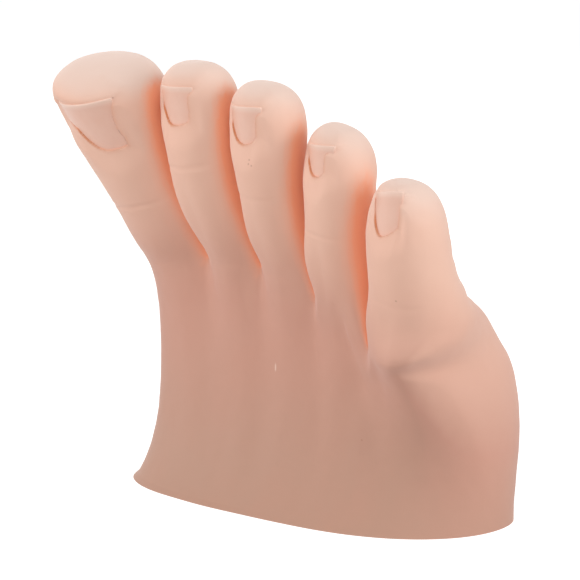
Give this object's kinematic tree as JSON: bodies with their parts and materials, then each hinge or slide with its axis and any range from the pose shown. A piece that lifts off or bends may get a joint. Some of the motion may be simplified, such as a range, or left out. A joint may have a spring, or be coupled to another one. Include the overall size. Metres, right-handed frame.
{
  "type": "nail practice foot",
  "caption": "Soft silicone right forefoot that stands on its flat cut face, with five posable toes and a push-in practice nail in a slot on each toe.",
  "frame": {"origin": "a point of the flat cut face that the foot stands on, under the middle of the forefoot", "axes": "+Z from the cut face up to the toe tips, +X from the big toe to the little toe, +Y to the sole and -Y to the nails"},
  "size_m": [0.0992, 0.0615, 0.1026],
  "materials": {
    "peach_silicone": "soft matte silicone skin",
    "pink_nail_plastic": "translucent pink plastic, satin",
    "white_nylon": "moulded off-white nylon",
    "rivet_steel": "plain steel"
  },
  "bodies": {
    "forefoot": {"silicone_forefoot": "peach_silicone", "keel_plate": "white_nylon", "big_toe_root_rivet": "rivet_steel", "second_toe_root_rivet": "rivet_steel", "third_toe_root_rivet": "rivet_steel", "fourth_toe_root_rivet": "rivet_steel", "little_toe_root_rivet": "rivet_steel"},
    "big_toe_lower": {"big_toe_base": "peach_silicone", "big_toe_lower_link": "white_nylon", "big_toe_tip_rivet": "rivet_steel"},
    "big_toe_upper": {"big_toe_tip": "peach_silicone", "big_toe_upper_link": "white_nylon"},
    "big_toe_nail_plate": {"big_toe_nail": "pink_nail_plastic"},
    "second_toe_lower": {"second_toe_base": "peach_silicone", "second_toe_lower_link": "white_nylon", "second_toe_tip_rivet": "rivet_steel"},
    "second_toe_upper": {"second_toe_tip": "peach_silicone", "second_toe_upper_link": "white_nylon"},
    "second_toe_nail_plate": {"second_toe_nail": "pink_nail_plastic"},
    "third_toe_lower": {"third_toe_base": "peach_silicone", "third_toe_lower_link": "white_nylon", "third_toe_tip_rivet": "rivet_steel"},
    "third_toe_upper": {"third_toe_tip": "peach_silicone", "third_toe_upper_link": "white_nylon"},
    "third_toe_nail_plate": {"third_toe_nail": "pink_nail_plastic"},
    "fourth_toe_lower": {"fourth_toe_base": "peach_silicone", "fourth_toe_lower_link": "white_nylon", "fourth_toe_tip_rivet": "rivet_steel"},
    "fourth_toe_upper": {"fourth_toe_tip": "peach_silicone", "fourth_toe_upper_link": "white_nylon"},
    "fourth_toe_nail_plate": {"fourth_toe_nail": "pink_nail_plastic"},
    "little_toe_lower": {"little_toe_base": "peach_silicone", "little_toe_lower_link": "white_nylon", "little_toe_tip_rivet": "rivet_steel"},
    "little_toe_upper": {"little_toe_tip": "peach_silicone", "little_toe_upper_link": "white_nylon"},
    "little_toe_nail_plate": {"little_toe_nail": "pink_nail_plastic"}
  },
  "joints": [
    {"name": "big_toe_root_curl", "type": "hinge", "parent": "forefoot", "child": "big_toe_lower", "pos_m": [-0.03354, -0.00298, 0.06495], "axis": [-0.9914, 0, -0.1309], "range_deg": [-15, 25]},
    {"name": "big_toe_tip_curl", "type": "hinge", "parent": "big_toe_lower", "child": "big_toe_upper", "pos_m": [-0.03551, -0.01241, 0.07993], "axis": [-0.9914, 0, -0.1309], "range_deg": [-10, 30]},
    {"name": "big_toe_nail_slide", "type": "slide", "parent": "big_toe_upper", "child": "big_toe_nail_plate", "axis": [-0.1138, -0.5114, 0.8518], "range_m": [0, 0.012]},
    {"name": "second_toe_root_curl", "type": "hinge", "parent": "forefoot", "child": "second_toe_lower", "pos_m": [-0.01314, -0.00533, 0.06689], "axis": [-0.9995, 0, -0.0326], "range_deg": [-15, 25]},
    {"name": "second_toe_tip_curl", "type": "hinge", "parent": "second_toe_lower", "child": "second_toe_upper", "pos_m": [-0.01362, -0.01229, 0.08146], "axis": [-0.9995, 0, -0.0326], "range_deg": [-10, 30]},
    {"name": "second_toe_nail_slide", "type": "slide", "parent": "second_toe_upper", "child": "second_toe_nail_plate", "axis": [-0.0335, -0.1693, 0.985], "range_m": [0, 0.012]},
    {"name": "third_toe_root_curl", "type": "hinge", "parent": "forefoot", "child": "third_toe_lower", "pos_m": [0.00329, -0.00443, 0.06603], "axis": [-0.9995, 0, 0.031], "range_deg": [-15, 25]},
    {"name": "third_toe_tip_curl", "type": "hinge", "parent": "third_toe_lower", "child": "third_toe_upper", "pos_m": [0.00371, -0.01052, 0.07956], "axis": [-0.9995, 0, 0.031], "range_deg": [-10, 30]},
    {"name": "third_toe_nail_slide", "type": "slide", "parent": "third_toe_upper", "child": "third_toe_nail_plate", "axis": [0.029, -0.1786, 0.9835], "range_m": [0, 0.012]},
    {"name": "fourth_toe_root_curl", "type": "hinge", "parent": "forefoot", "child": "fourth_toe_lower", "pos_m": [0.01893, -0.00339, 0.06206], "axis": [-0.9954, 0, 0.0962], "range_deg": [-15, 25]},
    {"name": "fourth_toe_tip_curl", "type": "hinge", "parent": "fourth_toe_lower", "child": "fourth_toe_upper", "pos_m": [0.02009, -0.00714, 0.07401], "axis": [-0.9954, 0, 0.0962], "range_deg": [-10, 30]},
    {"name": "fourth_toe_nail_slide", "type": "slide", "parent": "fourth_toe_upper", "child": "fourth_toe_nail_plate", "axis": [0.0949, -0.1296, 0.987], "range_m": [0, 0.012]},
    {"name": "little_toe_root_curl", "type": "hinge", "parent": "forefoot", "child": "little_toe_lower", "pos_m": [0.03741, -0.00246, 0.05341], "axis": [-0.998, 0, 0.0639], "range_deg": [-15, 25]},
    {"name": "little_toe_tip_curl", "type": "hinge", "parent": "little_toe_lower", "child": "little_toe_upper", "pos_m": [0.03813, -0.00686, 0.06464], "axis": [-0.998, 0, 0.0639], "range_deg": [-10, 30]},
    {"name": "little_toe_nail_slide", "type": "slide", "parent": "little_toe_upper", "child": "little_toe_nail_plate", "axis": [0.102, -0.0387, 0.994], "range_m": [0, 0.012]}
  ]
}
